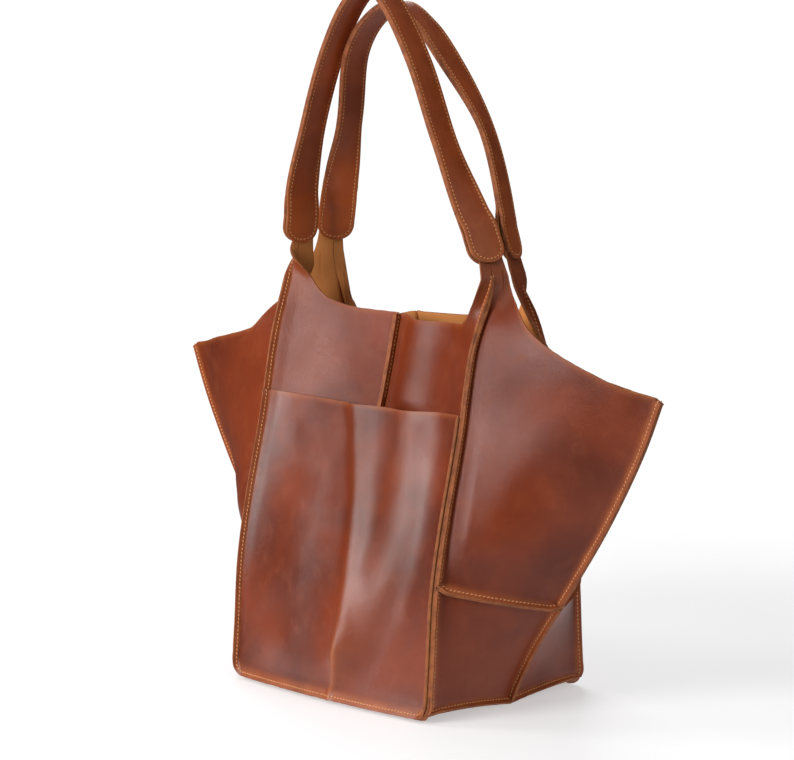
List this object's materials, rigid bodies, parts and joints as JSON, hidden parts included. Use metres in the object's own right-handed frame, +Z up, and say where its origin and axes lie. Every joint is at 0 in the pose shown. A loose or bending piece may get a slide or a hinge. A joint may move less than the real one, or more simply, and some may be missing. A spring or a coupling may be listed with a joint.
{
  "type": "leather tote bag",
  "caption": "Soft leather tote bag with standing seams, pointed side wings, a full-width front pocket and long strap handles, for carrying things by hand or on the shoulder.",
  "frame": {"origin": "on the surface that the bag stands on, under the middle of its box", "axes": "+Z up, -Y towards the front with the pocket, +X to the right as seen from the front"},
  "size_m": [0.5644, 0.2043, 0.6055],
  "materials": {
    "wall_leather": "satin waxed leather, reddish brown",
    "pocket_leather": "satin waxed leather, reddish brown",
    "base_leather": "satin waxed leather, reddish brown",
    "strap_leather": "satin waxed leather with tan raw edges"
  },
  "bodies": {
    "root": {"front_left_panel": "wall_leather", "front_right_panel": "wall_leather", "back_left_panel": "wall_leather", "back_right_panel": "wall_leather", "left_front_wing": "wall_leather", "left_back_wing": "wall_leather", "right_front_wing": "wall_leather", "right_back_wing": "wall_leather", "left_front_gusset": "wall_leather", "left_back_gusset": "wall_leather", "right_front_gusset": "wall_leather", "right_back_gusset": "wall_leather", "front_pocket": "pocket_leather", "base_panel": "base_leather", "front_handle_outer": "strap_leather", "front_handle_inner": "strap_leather", "back_handle_outer": "strap_leather", "back_handle_inner": "strap_leather"}
  },
  "joints": []
}
